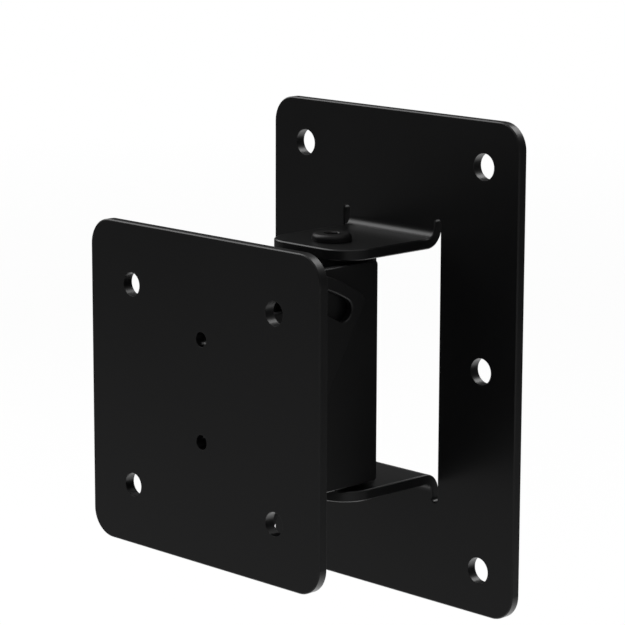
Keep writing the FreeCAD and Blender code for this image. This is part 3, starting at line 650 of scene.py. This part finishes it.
def make_world():
    """The lens sees white. Dull surfaces get even light. Mirrored rays see a white sheet where
    it hangs, straight behind the bracket, and a dim room that grows lighter overhead. How near a
    direction is to the sheet is its dot product with the line of sight; how high it is, its z."""
    world = bpy.data.worlds.new("studio")
    scene.world = world
    world.use_nodes = True
    world.cycles.sampling_method = "NONE"
    tree = world.node_tree
    tree.nodes.clear()
    ray = tree.nodes.new("ShaderNodeLightPath").outputs
    direction = tree.nodes.new("ShaderNodeTexCoord").outputs["Generated"]
    ahead = measured(tree, "DOT_PRODUCT", direction, LINE_OF_SIGHT)
    sheet = spread(tree, ahead, SHEET_EDGE, SHEET_FULL, 0.0, 1.0)
    height = add_node(tree, "ShaderNodeSeparateXYZ", Vector=direction).outputs["Z"]
    room = spread(tree, height, ROOM_HEIGHT, CEILING_HEIGHT, ROOM_LEVEL, CEILING_LEVEL)
    studio = compute(tree, "MAXIMUM", room, sheet)
    mirrored = compute(tree, "MULTIPLY", ray["Is Glossy Ray"], studio)
    seen = compute(tree, "MAXIMUM", ray["Is Camera Ray"], ray["Is Transmission Ray"])
    plain = compute(tree, "MULTIPLY", ray["Is Diffuse Ray"], PLAIN_LEVEL)
    level = compute(tree, "ADD", seen, compute(tree, "ADD", mirrored, plain))
    light = add_node(tree, "ShaderNodeBackground", Color=WHITE, Strength=level)
    output = tree.nodes.new("ShaderNodeOutputWorld")
    tree.links.new(light.outputs[0], output.inputs["Surface"])


make_world()
print("plain level", PLAIN_LEVEL, "room", ROOM_LEVEL, "to", CEILING_LEVEL)

# %% Floor disc
FLOOR_LEVEL, FLOOR_HOLE, FLOOR_REACH = -0.30, 0.002, 3.0
FLOOR_AROUND, FLOOR_RINGS = 96, 24


def ring_grid(inner, outer, around, rings):
    """Points of a flat disc, ring by ring: radius grows evenly, angle goes once round."""
    radius = np.linspace(inner, outer, rings)[:, None]
    angle = np.linspace(0, 2 * np.pi, around, endpoint=False)[None, :]
    return np.stack([radius * np.cos(angle), radius * np.sin(angle),
                     np.full((rings, around), FLOOR_LEVEL)], axis=2)


points = ring_grid(FLOOR_HOLE, FLOOR_REACH, FLOOR_AROUND, FLOOR_RINGS)
floor_mesh = bpy.data.meshes.new("floor")
floor_faces = grid_faces(FLOOR_RINGS, FLOOR_AROUND)
floor_mesh.from_pydata(points.reshape(-1, 3), [], floor_faces.tolist())
floor = bpy.data.objects.new("floor", floor_mesh)
scene.collection.objects.link(floor)
print("floor reaches", FLOOR_REACH, "m, at", FLOOR_LEVEL, "m")

# %% What mirrors see on the floor
FLOOR_GLEAM, NEAR_REACH, GLEAM_SPREAD = 0.40, 0.85, 0.7
BEHIND_FAR, BEHIND_SHARE = 0.9, 0.35
CAMERA_SIDE_SHARE, SIDE_FROM, SIDE_FULL = 1.7, 0.6, 0.97
POOL_AT, POOL_GLEAM, POOL_INNER, POOL_OUTER = (-0.05, 0.30, FLOOR_LEVEL), 1.1, 0.22, 0.50
TOWARDS_CAMERA = Vector((camera.location.x, camera.location.y, 0)).normalized()


def floor_gleam(tree, place, far):
    """Mirrored brightness of the floor: gleam / (distance + spread), less behind the bracket, more
    on the camera's side, and a pool of lamp light added around one spot."""
    away = compute(tree, "ADD", compute(tree, "MAXIMUM", far, NEAR_REACH), GLEAM_SPREAD)
    gleam = compute(tree, "DIVIDE", FLOOR_GLEAM, away)
    behind = add_node(tree, "ShaderNodeSeparateXYZ", Vector=place).outputs["Y"]
    dimmed = spread(tree, behind, 0.0, BEHIND_FAR, 1.0, BEHIND_SHARE)
    gleam = compute(tree, "MULTIPLY", gleam, dimmed)
    turned_to = compute(tree, "DIVIDE", measured(tree, "DOT_PRODUCT", place, TOWARDS_CAMERA), far)
    paler = spread(tree, turned_to, SIDE_FROM, SIDE_FULL, 1.0, CAMERA_SIDE_SHARE)
    gleam = compute(tree, "MULTIPLY", gleam, paler)
    from_pool = measured(tree, "DISTANCE", place, POOL_AT)
    pool = spread(tree, from_pool, POOL_INNER, POOL_OUTER, POOL_GLEAM, 0.0)
    return compute(tree, "ADD", gleam, pool)


# %% Pale floor
PAPER = (0.82, 0.82, 0.82, 1)
GLOW_SHARE = 0.9
FADE_START, FADE_END = 1.6, 2.9


def mixed_shader(tree, share, first, second):
    """Two shaders blended by a share from 0 to 1."""
    mix = tree.nodes.new("ShaderNodeMixShader")
    for socket, source in zip(mix.inputs, (share, first, second)):
        tree.links.new(source, socket)
    return mix.outputs[0]


def make_floor_finish():
    """Pale paper that is white to the lens, with the shadow kept in it, and dim in mirrors.
    Towards its rim it fades out, so that no edge shows from any side."""
    material, tree, place = new_finish("pale_floor")
    material.cycles.emission_sampling = "NONE"
    ray = tree.nodes.new("ShaderNodeLightPath").outputs
    far = measured(tree, "LENGTH", place)
    paper = add_node(tree, "ShaderNodeBsdfDiffuse", Color=PAPER)
    seen = compute(tree, "MAXIMUM", ray["Is Camera Ray"], ray["Is Transmission Ray"])
    mirrored = compute(tree, "MULTIPLY", ray["Is Glossy Ray"], floor_gleam(tree, place, far))
    level = compute(tree, "ADD", seen, mirrored)
    glow = add_node(tree, "ShaderNodeEmission", Color=WHITE, Strength=level)
    glowing = compute(tree, "MULTIPLY", seen, GLOW_SHARE)
    glowing = compute(tree, "MAXIMUM", glowing, ray["Is Glossy Ray"])
    lit = mixed_shader(tree, glowing, paper.outputs[0], glow.outputs[0])
    clear = add_node(tree, "ShaderNodeBsdfTransparent", Color=WHITE)
    gone = spread(tree, far, FADE_START, FADE_END, 0.0, 1.0)
    finish_with(tree, mixed_shader(tree, gone, lit, clear.outputs[0]))
    return material


floor_mesh.materials.append(make_floor_finish())
print("floor is", GLOW_SHARE, "glow and", round(1 - GLOW_SHARE, 2), "paper to the lens")

# %% Soft lamps
LAMP_DISTANCE = 1.3


def softbox(name, direction, size, radiance):
    """An oblong lamp that faces the bracket. Its power in watts is radiance x area x pi."""
    data = bpy.data.lights.new(name, "AREA")
    data.shape = "RECTANGLE"
    data.size, data.size_y = size
    data.energy = radiance * math.pi * size[0] * size[1]
    lamp = bpy.data.objects.new(name, data)
    away = Vector(direction).normalized()
    facing = away.to_track_quat("Z", "Y").to_matrix().to_4x4()
    lamp.matrix_world = Matrix.Translation(away * LAMP_DISTANCE) @ facing
    scene.collection.objects.link(lamp)
    print(name, "radiance", radiance, "power", round(data.energy, 2), "W")
    return lamp


softbox("lamp_behind", direction=(0.05, 0.70, 0.66), size=(0.6, 0.5), radiance=4.0)
softbox("lamp_left", direction=(-0.70, -0.12, 0.70), size=(1.0, 1.0), radiance=2.5)
